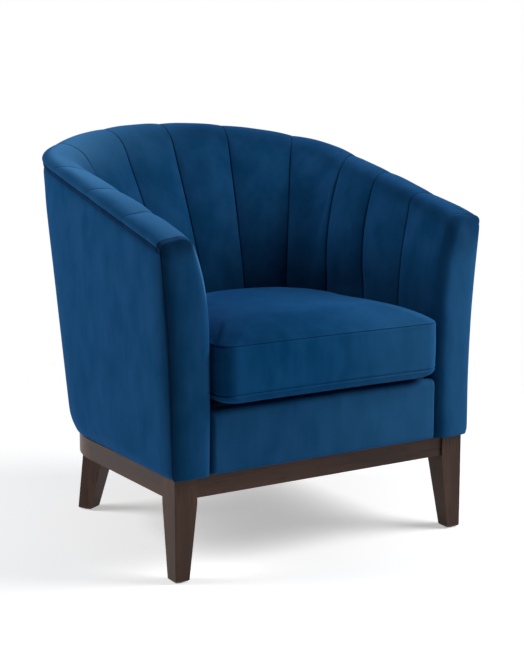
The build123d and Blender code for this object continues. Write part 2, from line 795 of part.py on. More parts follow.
with BuildPart() as cushion_cover:
    add(cushion_block(0))
    add(cushion_block(cover_thickness), mode=Mode.SUBTRACT)
keep(cushion_cover.part, "cushion_cover")

with BuildPart() as cushion_foam:
    add(cushion_block(cover_thickness + foam_gap))
keep(cushion_foam.part, "cushion_foam")

# Zip: its tape follows the round back of the boxing, and the slider runs along it
cushion_arc = plan_arcs(cushion_half, cushion_back - cushion_straight)[1]
zip_centre = front + cushion_back - cushion_arc
zip_low = cushion_foot + zip_height
tape_radius = cushion_arc + zip_gap
with BuildPart() as cushion_zip:
    with BuildSketch(Plane(origin=(0, zip_centre, zip_low))):
        with BuildLine():
            zip_start = 90 - zip_half_angle
            inner_arc = CenterArc((0, 0), tape_radius, zip_start, 2 * zip_half_angle)
            outer_arc = CenterArc((0, 0), tape_radius + zip_thickness, zip_start, 2 * zip_half_angle)
            Line(inner_arc @ 0, outer_arc @ 0)
            Line(inner_arc @ 1, outer_arc @ 1)
        make_face()
    extrude(amount=zip_width)
keep(cushion_zip.part, "cushion_zip")

slider_turn = math.radians(slider_angle)
slider_radius = tape_radius + zip_thickness + zip_gap
slider_out = Vector(math.sin(slider_turn), math.cos(slider_turn))
slider_place = Vector(0, zip_centre) + slider_out * slider_radius
with BuildPart() as zip_slider:
    with BuildSketch(
        Plane(
            origin=(slider_place.X, slider_place.Y, zip_low + zip_width / 2),
            x_dir=(slider_out.Y, -slider_out.X, 0),
            z_dir=(slider_out.X, slider_out.Y, 0),
        )
    ):
        RectangleRounded(slider_length, slider_width, slider_width / 4)
    extrude(amount=slider_thickness)
keep(zip_slider.part, "zip_slider")
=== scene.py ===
import math

import bmesh
import bpy
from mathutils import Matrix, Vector, noise


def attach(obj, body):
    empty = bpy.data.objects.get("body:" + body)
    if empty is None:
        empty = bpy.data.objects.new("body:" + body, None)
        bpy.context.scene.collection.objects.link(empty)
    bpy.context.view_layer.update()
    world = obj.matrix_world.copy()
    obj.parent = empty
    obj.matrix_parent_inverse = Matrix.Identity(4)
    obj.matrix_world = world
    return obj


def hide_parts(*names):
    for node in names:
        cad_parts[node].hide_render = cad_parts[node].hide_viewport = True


# Channel back armchair in navy velvet on a walnut base. Sizes are millimetres in the CAD model's frame.
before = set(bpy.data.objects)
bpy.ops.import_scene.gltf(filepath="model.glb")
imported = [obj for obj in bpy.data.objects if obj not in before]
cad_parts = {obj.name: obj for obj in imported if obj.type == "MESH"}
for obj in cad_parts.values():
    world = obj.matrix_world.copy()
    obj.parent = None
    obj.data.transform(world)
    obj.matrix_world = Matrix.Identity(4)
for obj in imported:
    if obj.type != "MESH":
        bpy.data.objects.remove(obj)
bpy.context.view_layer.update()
scene = bpy.context.scene
MM = 0.001

# Sizes shared with the CAD model
FRONT = -314.876
ARM_FRONT = FRONT + 2.0
BASE_TOP = 194.0
ARM_HEIGHT = 627.0
BACK_HEIGHT = 785.0
RIM_BACK = 667.75
RIDGE_INSET = 32.0
SEAM_DROP = 15.0
RIM_SLOPE = (BACK_HEIGHT - ARM_HEIGHT) / (RIM_BACK - RIDGE_INSET - 2.0)
CHANNELS = 12
RIM_SEAMS = (0.0, 0.073, 0.154, 0.2325, 0.325, 0.4167, 0.5)
SEAT_SEAMS = (0.0, 0.1, 0.1967, 0.2767, 0.35, 0.4242, 0.5)
CHANNEL_FOOT = 300.0
DECK_PLAN = (255.0, FRONT + 215.0, FRONT + 432.0)
SEAT_LEVEL = 464.0
SEAT_PLAN = (258.0, FRONT + 230.0, FRONT + 461.0)
PANEL_START = FRONT - 6.0
PANEL_SEAM = 210.0
PANEL_DROP = 26.5
CUSHION_HALF = 245.0
CUSHION_FRONT = FRONT - 38.0
CUSHION_STRAIGHT = FRONT + 212.0
CUSHION_BACK = FRONT + 420.0
CUSHION_FOOT = 322.3
LOW_SEAM = 342.3
TOP_SEAM = 431.3
CUSHION_TOP = 468.3
COVER_HALF = 305.5
COVER_NOTCH = 279.0

# Sizes of the dressed pieces alone
FACING_FOOT = (253.4, BASE_TOP)
BORDER_HALF = 252.2
BORDER_HEIGHT = 121.0
BAND_DROP = 25.8
BAND_WIDTH = 10.2
COVER_LEVEL = 193.5
COVER_SAG = 6.0
LEG_EDGE = 1.2
RAIL_EDGE = 1.0


# Plan and rim curves
def plan_arcs(half, depth):
    """Radii of the corner arcs and the rear arc of a plan."""
    spread = (half - depth) / (math.sqrt(2) - 1)
    corner = half - spread * math.sqrt(0.5)
    return corner, corner + spread


def plan_length(half, start, straight, back):
    """Length of half a plan, with its straight side and its corner bend."""
    corner, rear = plan_arcs(half, back - straight)
    side = straight - start
    bend = corner * math.pi / 4
    return side, bend, side + bend + rear * math.pi / 4


def plan_walk(half, start, straight, back, share):
    """Point and outward direction at a share of the way round a plan, from the left arm to the right."""
    corner, rear = plan_arcs(half, back - straight)
    side, bend, total = plan_length(half, start, straight, back)
    way = min(share, 1 - share) * 2 * total
    hand = -1 if share <= 0.5 else 1
    if way <= side:
        return Vector((hand * half, start + way, 0)), Vector((hand, 0, 0))
    if way <= side + bend:
        angle = (way - side) / corner
        centre = Vector((hand * (half - corner), straight, 0))
        radius = corner
    else:
        angle = math.pi / 4 + (way - side - bend) / rear
        centre = Vector((0, back - rear, 0))
        radius = rear
    outward = Vector((hand * math.cos(angle), math.sin(angle), 0))
    return centre + outward * radius, outward


def tub_plan(height):
    """Half width, straight length and back of the tub's outer face at a height."""
    rise = height - BASE_TOP
    half = 336.0 + math.tan(math.radians(2.6)) * rise
    straight = FRONT + 357.0 + math.tan(math.radians(8.0)) * rise
    back = FRONT + 613.0 + math.tan(math.radians(5.43)) * rise
    return half, straight, back


def ease(value, low, high):
    """Smooth step from 0 at low to 1 at high."""
    t = max(0.0, min(1.0, (value - low) / (high - low)))
    return t * t * (3 - 2 * t)


def foot_inset(height, y):
    """How far the outer face is rounded in at its foot; the rear is rounder than the arm fronts."""
    rear = ease(y, FRONT, FRONT + 380.0)
    foot = max(0.0, 1 - (height - BASE_TOP) / (16.0 + 30.0 * rear))
    return (4.0 + 8.0 * rear) * foot * foot


def front_hollow(height):
    """How far the arm fronts stand in from the straight lean, most at half height."""
    rise = height - BASE_TOP + 5.0
    return 8.0 * math.sin(math.pi * rise / 415.0) if 0.0 < rise < 415.0 else 0.0


def rim_height(y):
    """Height of the sloping ridge plane."""
    return ARM_HEIGHT + RIM_SLOPE * (y - ARM_FRONT)


def rim_point(share):
    """Point of the outer face on the ridge plane, with its outward direction."""
    height = ARM_HEIGHT
    for _ in range(6):
        half, straight, back = tub_plan(height - SEAM_DROP)
        point, outward = plan_walk(half, ARM_FRONT, straight, back, share)
        height = rim_height(point.y)
    return point, outward


def seam_share(seams, place):
    """Share of the way round at a place counted in seams; both halves are alike."""
    if place > CHANNELS / 2:
        return 1 - seam_share(seams, CHANNELS - place)
    number = min(int(place), len(seams) - 2)
    return seams[number] + (seams[number + 1] - seams[number]) * (place - number)


def sweep(x, y, radius, first, turn, count):
    """Points on an arc about a centre, with both its ends."""
    angles = [first + turn * i / count for i in range(count + 1)]
    return [(x + radius * math.cos(a), y + radius * math.sin(a)) for a in angles]


def arc_points(a, b, c, count):
    """Points on the arc from a through b to c, without c."""
    d = 2 * (a[0] * (b[1] - c[1]) + b[0] * (c[1] - a[1]) + c[0] * (a[1] - b[1]))
    sa, sb, sc = (p[0] ** 2 + p[1] ** 2 for p in (a, b, c))
    x = (sa * (b[1] - c[1]) + sb * (c[1] - a[1]) + sc * (a[1] - b[1])) / d
    y = (sa * (c[0] - b[0]) + sb * (a[0] - c[0]) + sc * (b[0] - a[0])) / d
    radius = math.hypot(a[0] - x, a[1] - y)
    first = math.atan2(a[1] - y, a[0] - x)
    turn = math.atan2(c[1] - y, c[0] - x) - first
    middle = (math.atan2(b[1] - y, b[0] - x) - first) % (2 * math.pi)
    turn %= 2 * math.pi
    if middle > turn:
        turn -= 2 * math.pi
    return sweep(x, y, radius, first, turn, count)[:-1]


# Mesh helpers
def new_object(name, verts, faces, material):
    """Smooth shaded mesh object from points in millimetres."""
    mesh = bpy.data.meshes.new(name)
    mesh.from_pydata([(x * MM, y * MM, z * MM) for x, y, z in verts], [], faces)
    bm = bmesh.new()
    bm.from_mesh(mesh)
    bmesh.ops.recalc_face_normals(bm, faces=bm.faces)
    bm.to_mesh(mesh)
    bm.free()
    mesh.polygons.foreach_set("use_smooth", [True] * len(mesh.polygons))
    mesh.materials.append(material)
    obj = bpy.data.objects.new(name, mesh)
    scene.collection.objects.link(obj)
    return obj


def ladder(start, size):
    """Faces across a ring of points, paired from its first and last point inward."""
    pairs = [(i, i + 1, size - 2 - i, size - 1 - i) for i in range((size - 1) // 2)]
    return [tuple(start + j for j in dict.fromkeys(corners)) for corners in pairs]


def tube(name, loops, material):
    """Closed form through a row of closed loops, capped at both ends."""
    size = len(loops[0])
    verts = [p for loop in loops for p in loop]
    faces = []
    for i in range(len(loops) - 1):
        for j in range(size):
            k = (j + 1) % size
            faces.append((i * size + j, i * size + k, (i + 1) * size + k, (i + 1) * size + j))
    faces += ladder(0, size) + ladder((len(loops) - 1) * size, size)
    return new_object(name, verts, faces, material)


def slab(name, face_rows, back_rows, material):
    """Closed pad between a face grid and a back grid of the same size."""
    rows, cols = len(face_rows), len(face_rows[0])
    verts = [p for row in face_rows for p in row] + [p for row in back_rows for p in row]
    back = rows * cols
    faces = []
    for i in range(rows - 1):
        for j in range(cols - 1):
            a, b, c, d = i * cols + j, i * cols + j + 1, (i + 1) * cols + j + 1, (i + 1) * cols + j
            faces.append((a, b, c, d))
            faces.append((back + d, back + c, back + b, back + a))
    border = list(range(cols))
    border += [i * cols + cols - 1 for i in range(1, rows)]
    border += [(rows - 1) * cols + j for j in range(cols - 2, -1, -1)]
    border += [i * cols for i in range(rows - 2, 0, -1)]
    for a, b in zip(border, border[1:] + border[:1]):
        faces.append((a, back + a, back + b, b))
    return new_object(name, verts, faces, material)


def mark(obj, name, values):
    """Store a number for each point, for the material: closeness to a seam with painted shade added, or how
    much painted light is mixed in.
    """
    layer = obj.data.attributes.new(name, "FLOAT", "POINT")
    layer.data.foreach_set("value", values)


def run_on(obj, points):
    """Keep the edges along a row of points crisp, where the surface runs on into another piece."""
    row = set(points)
    crisp = [edge.vertices[0] in row and edge.vertices[1] in row for edge in obj.data.edges]
    sharp = obj.data.attributes.new("sharp_edge", "BOOLEAN", "EDGE")
    sharp.data.foreach_set("value", crisp)
    if "crease_edge" not in obj.data.attributes:
        obj.data.attributes.new("crease_edge", "FLOAT", "EDGE")
    creases = obj.data.attributes["crease_edge"].data
    for number, keep in enumerate(crisp):
        if keep:
            creases[number].value = 1.0


def subdivide(obj):
    """Smooth the form with a subdivision surface."""
    modifier = obj.modifiers.new("smooth", "SUBSURF")
    modifier.levels = modifier.render_levels = 1


def rounded(distance, radius):
    """Quarter-round rise from 0 at an edge to 1 at a radius from it."""
    t = max(0.0, min(1.0, distance / radius))
    return math.sqrt(1 - (1 - t) ** 2)


def wobble(point, size, seed):
    """Smooth noise between about -1 and 1 at a point in millimetres."""
    return noise.noise(Vector(point) / size + Vector((seed, seed * 0.37, -seed)))


def simulate(pieces, frames=16):
    """Swell padded pieces as cloth under pressure: (object, pinned points, pressure, cap in mm)."""
    rests = []
    for obj, pins, pressure, _ in pieces:
        rests.append([v.co.copy() for v in obj.data.vertices])
        group = obj.vertex_groups.new(name="sewn")
        group.add(pins, 1.0, "REPLACE")
        cloth = obj.modifiers.new("swell", "CLOTH")
        settings = cloth.settings
        settings.quality = 4
        settings.mass = 0.35
        settings.tension_stiffness = 12
        settings.compression_stiffness = 12
        settings.shear_stiffness = 6
        settings.bending_stiffness = 0.8
        settings.use_pressure = True
        settings.uniform_pressure_force = pressure
        settings.effector_weights.gravity = 0
        settings.vertex_group_mass = "sewn"
        cloth.collision_settings.use_collision = False
        cloth.point_cache.frame_start = 1
        cloth.point_cache.frame_end = frames
    for number in range(1, frames + 1):
        scene.frame_set(number)
    graph = bpy.context.evaluated_depsgraph_get()
    for (obj, _, _, cap), rest in zip(pieces, rests):
        moved = [v.co.copy() for v in obj.evaluated_get(graph).data.vertices]
        obj.modifiers.remove(obj.modifiers["swell"])
        for vertex, old, new in zip(obj.data.vertices, rest, moved):
            shift = new - old
            if shift.length > cap * MM:
                shift *= cap * MM / shift.length
            vertex.co = old + shift
        obj.vertex_groups.clear()
    scene.frame_set(1)


# Materials
# Dark colour of the seam lines, also used for painted shade; the lighter pile colour used as painted light;
# and the tint of the velvet's sheen.
SEAM_AND_SHADE_COLOUR = (0.0008, 0.003, 0.009, 1)
PAINTED_LIGHT_COLOUR = (0.062, 0.21, 0.41, 1)
SHEEN_COLOUR = (0.08, 0.36, 1.0, 1)


def new_group(name, **inputs):
    """Empty node group for a colour, a roughness and a normal, its input node and its output node."""
    group = bpy.data.node_groups.new(name, "ShaderNodeTree")
    outputs = {"Color": "Color", "Roughness": "Float", "Normal": "Vector"}
    for way, sockets in (("INPUT", inputs), ("OUTPUT", outputs)):
        for socket, kind in sockets.items():
            group.interface.new_socket(socket, in_out=way, socket_type=f"NodeSocket{kind}")
    return group, group.nodes.new("NodeGroupInput"), group.nodes.new("NodeGroupOutput")


def feed(tree, value, target):
    """Set an input, or link it where the value is another node's socket."""
    if isinstance(value, bpy.types.NodeSocket):
        tree.links.new(value, target)
    else:
        target.default_value = value


def feed_named(tree, node, **inputs):
    """Feed a node's inputs by name; an underscore stands for a space."""
    for name, value in inputs.items():
        feed(tree, value, node.inputs[name.replace("_", " ")])


def add_node(tree, kind, **inputs):
    """New shader node with its named inputs fed."""
    node = tree.nodes.new(f"ShaderNode{kind}")
    feed_named(tree, node, **inputs)
    return node


def noise_node(tree, vector, scale, detail, stretch=None):
    """Noise texture, on coordinates that may be stretched."""
    if stretch:
        vector = add_node(tree, "Mapping", Scale=stretch, Vector=vector).outputs["Vector"]
    return add_node(tree, "TexNoise", Scale=scale, Detail=detail, Vector=vector).outputs["Fac"]


def remap(tree, value, low, high, to_low, to_high):
    """Map a value from one range to another, clamped."""
    node = add_node(tree, "MapRange", Value=value, From_Min=low, From_Max=high, To_Min=to_low, To_Max=to_high)
    return node.outputs["Result"]


def mix_colour(tree, factor, first, second, blend="MIX"):
    """Mix two colours; each is a socket or a plain colour."""
    node = add_node(tree, "Mix")
    node.data_type = "RGBA"
    node.blend_type = blend
    for socket, kind, value in (("Factor", "VALUE", factor), ("A", "RGBA", first), ("B", "RGBA", second)):
        feed(tree, value, next(s for s in node.inputs if s.name == socket and s.type == kind))
    return next(s for s in node.outputs if s.type == "RGBA")


def bump_node(tree, height, strength, distance):
    """Bump from a height."""
    return add_node(tree, "Bump", Strength=strength, Distance=distance, Height=height).outputs["Normal"]


def pile_group():
    """Velvet pile: pile tone brushed into soft patches and upright streaks, fine fibre bump, a painted
    highlight colour where the mesh marks painted light, and dark seam lines with painted shade.
    """
    group, given, result = new_group("velvet pile", Vector="Vector", Deep="Color", Lit="Color",
                                     Brushed="Color", Nap="Float", Seam="Float")
    vector = given.outputs["Vector"]
    patches = noise_node(group, vector, 24.0, 5.0, (1.0, 1.0, 0.6))
    streaks = noise_node(group, vector, 90.0, 4.0, (1.0, 1.0, 0.14))
    fibres = noise_node(group, vector, 2600.0, 1.0)
    brushed = add_node(group, "Math")
    brushed.operation = "MULTIPLY_ADD"
    for number, value in enumerate((streaks, 0.45, remap(group, patches, 0.3, 0.7, 0.0, 0.55))):
        feed(group, value, brushed.inputs[number])
    nap = mix_colour(group, remap(group, brushed.outputs[0], 0.25, 0.72, 0.0, 1.0),
                     given.outputs["Deep"], given.outputs["Lit"])
    # Painted light: the highlight colour is mixed in by the painted light mark.
    nap = mix_colour(group, given.outputs["Nap"], nap, given.outputs["Brushed"])
    # Dark seam lines, and painted shade, from the seam mark.
    sewn = mix_colour(group, given.outputs["Seam"], nap, SEAM_AND_SHADE_COLOUR)
    feed_named(group, result, Color=sewn, Roughness=remap(group, fibres, 0.3, 0.7, 0.72, 0.92),
               Normal=bump_node(group, fibres, 0.25, 0.0006))
    return group


def grain_group():
    """Walnut: long growth rings, dark pores along the grain and a worn satin lacquer."""
    group, given, result = new_group("walnut grain", Vector="Vector", Dark="Color", Light="Color")
    vector = given.outputs["Vector"]
    figure = noise_node(group, vector, 26.0, 4.0)
    pores = noise_node(group, vector, 260.0, 2.0)
    dark, light = given.outputs["Dark"], given.outputs["Light"]
    figured = mix_colour(group, remap(group, figure, 0.32, 0.68, 0.0, 1.0), dark, light)
    pored = mix_colour(group, remap(group, pores, 0.56, 0.74, 0.0, 0.55), figured, dark, "MULTIPLY")
    feed_named(group, result, Color=pored, Roughness=remap(group, figure, 0.3, 0.7, 0.36, 0.5),
               Normal=bump_node(group, pores, 0.12, 0.0005))
    return group


PILE = pile_group()
GRAIN = grain_group()


def new_material(name):
    """Node material with its tree, shader and object coordinates."""
    material = bpy.data.materials.new(name)
    material.use_nodes = True
    tree = material.node_tree
    shader = tree.nodes["Principled BSDF"]
    return material, tree, shader, add_node(tree, "TexCoord").outputs["Object"]


def link_group(tree, group, shader, vector):
    """Put a group in front of the shader's colour, roughness and normal."""
    node = add_node(tree, "Group")
    node.node_tree = group
    made = node.outputs
    feed_named(tree, node, Vector=vector)
    feed_named(tree, shader, Base_Color=made["Color"], Roughness=made["Roughness"], Normal=made["Normal"])
    return node


def velvet_material(name, deep, lit, sheen):
    """Velvet: deep pile colour with a soft sheen where the pile is seen from the side."""
    material, tree, shader, vector = new_material(name)
    node = link_group(tree, PILE, shader, vector)
    feed_named(tree, node, Deep=(*deep, 1), Lit=(*lit, 1), Brushed=PAINTED_LIGHT_COLOUR)
    # Marks on the mesh: painted light, and seam lines with painted shade.
    for socket in ("Nap", "Seam"):
        value = add_node(tree, "Attribute")
        value.attribute_name = socket.lower()
        feed(tree, value.outputs["Fac"], node.inputs[socket])
    feed_named(tree, shader, Specular_IOR_Level=0.02,
               Sheen_Weight=sheen, Sheen_Roughness=0.45, Sheen_Tint=SHEEN_COLOUR)
    return material


def wood_material(name, along, dark, light):
    """Lacquered walnut with its grain along one axis."""
    material, tree, shader, vector = new_material(name)
    stretch = [0.07 if axis == along else 1.0 for axis in "xyz"]
    mapping = add_node(tree, "Mapping", Scale=stretch, Vector=vector)
    node = link_group(tree, GRAIN, shader, mapping.outputs["Vector"])
    feed_named(tree, node, Dark=(*dark, 1), Light=(*light, 1))
    feed_named(tree, shader, Specular_IOR_Level=0.2, Coat_Weight=0.03, Coat_Roughness=0.3)
    return material


def plain_material(name, colour, roughness, metallic=0.0, weave=0.0):
    """Small hidden pieces: a mottled colour, with a weave for cloth."""
    material, tree, shader, vector = new_material(name)
    speckle = remap(tree, noise_node(tree, vector, 60.0, 3.0), 0.3, 0.7, 0.0, 1.0)
    mottled = mix_colour(tree, speckle, (*(c * 0.8 for c in colour), 1), (*colour, 1))
    feed_named(tree, shader, Base_Color=mottled, Roughness=roughness, Metallic=metallic)
    if weave:
        threads = add_node(tree, "TexChecker", Scale=weave, Vector=vector)
        feed_named(tree, shader, Normal=bump_node(tree, threads.outputs["Fac"], 0.3, 0.0005))
    return material


VELVET = velvet_material("velvet", (0.0034, 0.051, 0.137), (0.0095, 0.068, 0.178), 0.35)
VELVET_SEAT = velvet_material("velvet_seat", (0.0008, 0.047, 0.136), (0.0052, 0.066, 0.182), 0.35)
# Painted shade: the band's velvet is a darker copy, for the shade under the rolls.
SHADED_BAND_VELVET = velvet_material("velvet_band", (0.003, 0.02, 0.06), (0.005, 0.03, 0.085), 0.1)
WALNUT_DARK = (0.026, 0.0115, 0.0072)
WALNUT_LIGHT = (0.074, 0.035, 0.023)
WALNUT = {axis: wood_material(f"walnut_{axis}", axis, WALNUT_DARK, WALNUT_LIGHT) for axis in "xyz"}
PLYWOOD = wood_material("plywood", "x", (0.42, 0.28, 0.16), (0.6, 0.43, 0.27))
CLOTH = plain_material("black_cloth", (0.018, 0.018, 0.02), 0.9, weave=420)
DECK_CLOTH = plain_material("deck_cloth", (0.006, 0.02, 0.05), 0.9, weave=420)
STEEL = plain_material("steel", (0.5, 0.5, 0.51), 0.38, metallic=1.0)
GLIDE = plain_material("glide_plastic", (0.03, 0.03, 0.03), 0.5)


def dress(obj, body, slot, *nodes, fill=0.7):
    """Padded piece: rides on its body and stands for its CAD nodes; its slot is not used."""
    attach(obj, body)
    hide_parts(*nodes)


# Channels: upright slices of the tub wall, crowned between seams and rolled over the rim
CHANNEL_ROWS = ((0.0, 6.0), (0.2, 8.0), (0.45, 9.0), (0.63, 7.5), (0.82, 5.5), (0.93, 3.0), (1.0, 0.8))
ROLL = 24.0
ROLL_START = math.radians(25.0)
ROLL_END = {-1: (0.64, 0.56, 0.72), 1: (0.74, 0.68, 0.86)}
RIM_TRIM = ((0, -2.0), (2, -1.0), (4, -1.5), (5, 0.0), (7, 0.0), (8, -3.0), (8.6, -5.0), (9.2, -4.5),
            (10, 0.5), (12, 2.5))
# Painted light: how much lighter the roll over the rim is painted at each place, most on the left arm and
# none on the right.
ROLL_PAINTED_LIGHT = ((0, 0.45), (1.5, 0.6), (2.5, 0.9), (4, 0.85), (5, 0.35), (6.5, 0.0), (12, 0.0))


def table(rows, place):
    """Value between the rows of a table."""
    for (a, low), (b, high) in zip(rows, rows[1:]):
        if place <= b:
            return low + (high - low) * (place - a) / (b - a)
    return rows[-1][1]


class Wall:
    """Upright slice through the tub wall at a place counted in seams, measured inward from the rim."""

    def __init__(self, place):
        share = seam_share(SEAT_SEAMS, place)
        self.trim = table(RIM_TRIM, place)
        self.square = 4.0 * ease(place, CHANNELS - 1.0, CHANNELS)
        self.rim, outward = rim_point(seam_share(RIM_SEAMS, place))
        seat, _ = plan_walk(SEAT_PLAN[0], ARM_FRONT, *SEAT_PLAN[1:], share)
        deck, _ = plan_walk(DECK_PLAN[0], ARM_FRONT, *DECK_PLAN[1:], share)
        reach = self.rim - seat
        self.away = reach.normalized()
        self.skew = self.away.dot(outward)
        self.seat = (reach.length, SEAT_LEVEL)
        self.deck = ((self.rim - deck).dot(self.away), CHANNEL_FOOT)

    def place(self, inset, drop):
        """Way inward and height at an inset from the outer face and a drop from the ridge plane."""
        way = inset / self.skew
        return way, rim_height(self.rim.y - self.away.y * way) - drop

    def point(self, way, height):
        """Point in the chair's frame at a way inward and a height."""
        spot = self.rim - self.away * way
        return spot.x, spot.y, height

    def face(self):
        """Points up the inside, over the ridge and down to the outer seam, in the slice."""
        rear = ease(self.rim.y, FRONT + 150.0, FRONT + 420.0)
        ridge = self.place(RIDGE_INSET - 10.0 * rear, 2.4 * rear - self.trim)
        upper = self.place(72.0 + 8.0 * rear, 23 + 4.0 * rear - self.trim)
        brow = self.place(6.5 + 2.5 * rear, 3.2 + 2.6 * rear - self.square - self.trim)
        seam = self.place(1.0, SEAM_DROP)
        points = [(self.deck[0] + (self.seat[0] - self.deck[0]) * i / 10,
                   CHANNEL_FOOT + (SEAT_LEVEL - CHANNEL_FOOT) * i / 10) for i in range(10)]
        points += arc_points(self.seat, self.place(83.5 + 21.0 * rear, 68), upper, 22)
        points += arc_points(upper, self.place(62 - 8.0 * rear, 4.6 + 1.6 * rear - self.trim), ridge, 10)
        middle = self.place(18 - 3.0 * rear, 0.8 + 2.4 * rear - self.square * 0.4 - self.trim)
        points += arc_points(ridge, middle, brow, 5)
        side = self.place(0.8 + 1.2 * rear, 9.0 + rear - self.square - self.trim * 0.5)
        points += arc_points(brow, side, seam, 4) + [seam]
        return [points[0]] + [
            ((a[0] + 2 * b[0] + c[0]) / 4, (a[1] + 2 * b[1] + c[1]) / 4)
            for a, b, c in zip(points, points[1:], points[2:])
        ] + [points[-1]]

    def back(self):
        """Points back under the channel, along the frame."""
        hold = 50 / self.skew
        corners = ((8.5, SEAM_DROP), (8.5, 22.9), (46.5, 22.9), (46.5, 41.5), (46.5, 68))
        low = [(self.seat[0] - hold, SEAT_LEVEL), (self.deck[0] - hold, CHANNEL_FOOT)]
        return [self.place(*corner) for corner in corners] + low


def channel_width(number):
    """Width over which a channel's columns are spaced, a little under its width at the rim."""
    return (Wall(number + 1).rim - Wall(number).rim).length * 0.9


def arm_hand(number):
    """Side of the arm that a channel meets: -1 left, 1 right, 0 neither."""
    return {0: -1, CHANNELS - 1: 1}.get(number, 0)


def channel_columns(width):
    """Places across a channel, close together beside the seams."""
    edge = [0.02, 0.9, 2.2, 4.4]
    inner = 20
    middle = [7.5 + (width - 15) * i / inner for i in range(inner + 1)]
    return edge + middle + [width - e for e in reversed(edge)]


def channel_face(number, distance, width):
    """Points up a channel's face at a distance across it, their marks of seam lines with painted shade and of
    painted light, and the wall slice.
    """
    step = distance / width
    place = number + step
    wall = Wall(place)
    face = wall.face()
    last = len(face) - 1
    hand = arm_hand(number)
    from_arm = distance if hand < 0 else width - distance
    from_seam = max(0.0, min(distance, width - distance) - 0.15)
    across = 1 - abs(2 * step - 1) ** 3.2
    points, seams, painted_light = [], [], []
    for i, (way, height) in enumerate(face):
        t = i / last
        roll = ease(t, 0.52, 0.76) * (1 - 0.9 * ease(t, 0.8, 0.93))
        # Painted highlight on the roll over the rim.
        painted_light.append(table(ROLL_PAINTED_LIGHT, place) * roll)
        before, after = face[max(i - 1, 0)], face[min(i + 1, last)]
        run, rise = after[0] - before[0], after[1] - before[1]
        size = math.hypot(run, rise)
        swell = across + 0.5 * ease(t, 0.55, 0.7) * (1 - across)
        near = math.exp(-from_seam ** 2)
        groove = 1.3 * math.exp(-(from_seam / 1.2) ** 2) * (1 - t ** 6)
        lift = table(CHANNEL_ROWS, t) * swell - groove
        if hand and from_arm < width / 2:
            inside = 1 - ease(t, *ROLL_END[hand][1:])
            gap = max(0.0, ROLL * math.sin(ROLL_START) - from_arm)
            rolled = table(CHANNEL_ROWS, t) - (ROLL - math.sqrt(ROLL * ROLL - gap * gap))
            lift += (rolled - lift) * inside
            near *= 1 - inside
        lift += 0.9 * swell * wobble(wall.point(way, height), 62.0, number * 3.1)
        points.append(wall.point(way + lift * rise / size, height - lift * run / size))
        # Painted shade: darker low down on the channels towards the right, and on the rolls of the right
        # half; near is the seam lines themselves.
        low = 0.3 * (1 - ease(height, 470.0, 580.0)) * ease(place, 5.5, 8.0)
        shaded = 0.3 * ease(t, 0.6, 0.7) * ease(place, 4.8, 6.8)
        seams.append(max(low, shaded, 0.85 * near * (1 - t ** 12)))
    return points, seams, painted_light, wall


def make_channel(number):
    """One stuffed channel as a closed form, and the points at which it is sewn down."""
    width = channel_width(number)
    loops, seams, painted_light, sewn = [], [], [], []
    for distance in channel_columns(width):
        points, near, nap, wall = channel_face(number, distance, width)
        back = wall.back()
        edge = min(distance, width - distance)
        last = len(points) - 1
        loop = points + [wall.point(*p) for p in back]
        start = len(loops) * len(loop)
        pinned = range(len(loop))
        if edge >= 3:
            pinned = [*range(len(points), len(loop)), 0, 1, last - 1, last]
        sewn += [start + i for i in pinned]
        seams += near + [0.0] * len(back)
        painted_light += nap + [0.0] * len(back)
        loops.append(loop)
    obj = tube(f"channel_{number + 1:02d}_velvet", loops, VELVET)
    tight = obj.data.attributes.new("crease_edge", "FLOAT", "EDGE")
    for edge in obj.data.edges:
        ends = {v // len(loops[0]) for v in edge.vertices}
        if ends == {0} and number > 0 or ends == {len(loops) - 1} and number < CHANNELS - 1:
            tight.data[edge.index].value = 1.0
    mark(obj, "seam", seams)
    mark(obj, "nap", painted_light)
    hand = arm_hand(number)
    if hand:
        start = 0 if hand < 0 else (len(loops) - 1) * len(loops[0])
        run_on(obj, range(start, start + round(ROLL_END[hand][0] * len(points))))
    return obj, sewn


channels = [make_channel(number) for number in range(CHANNELS)]


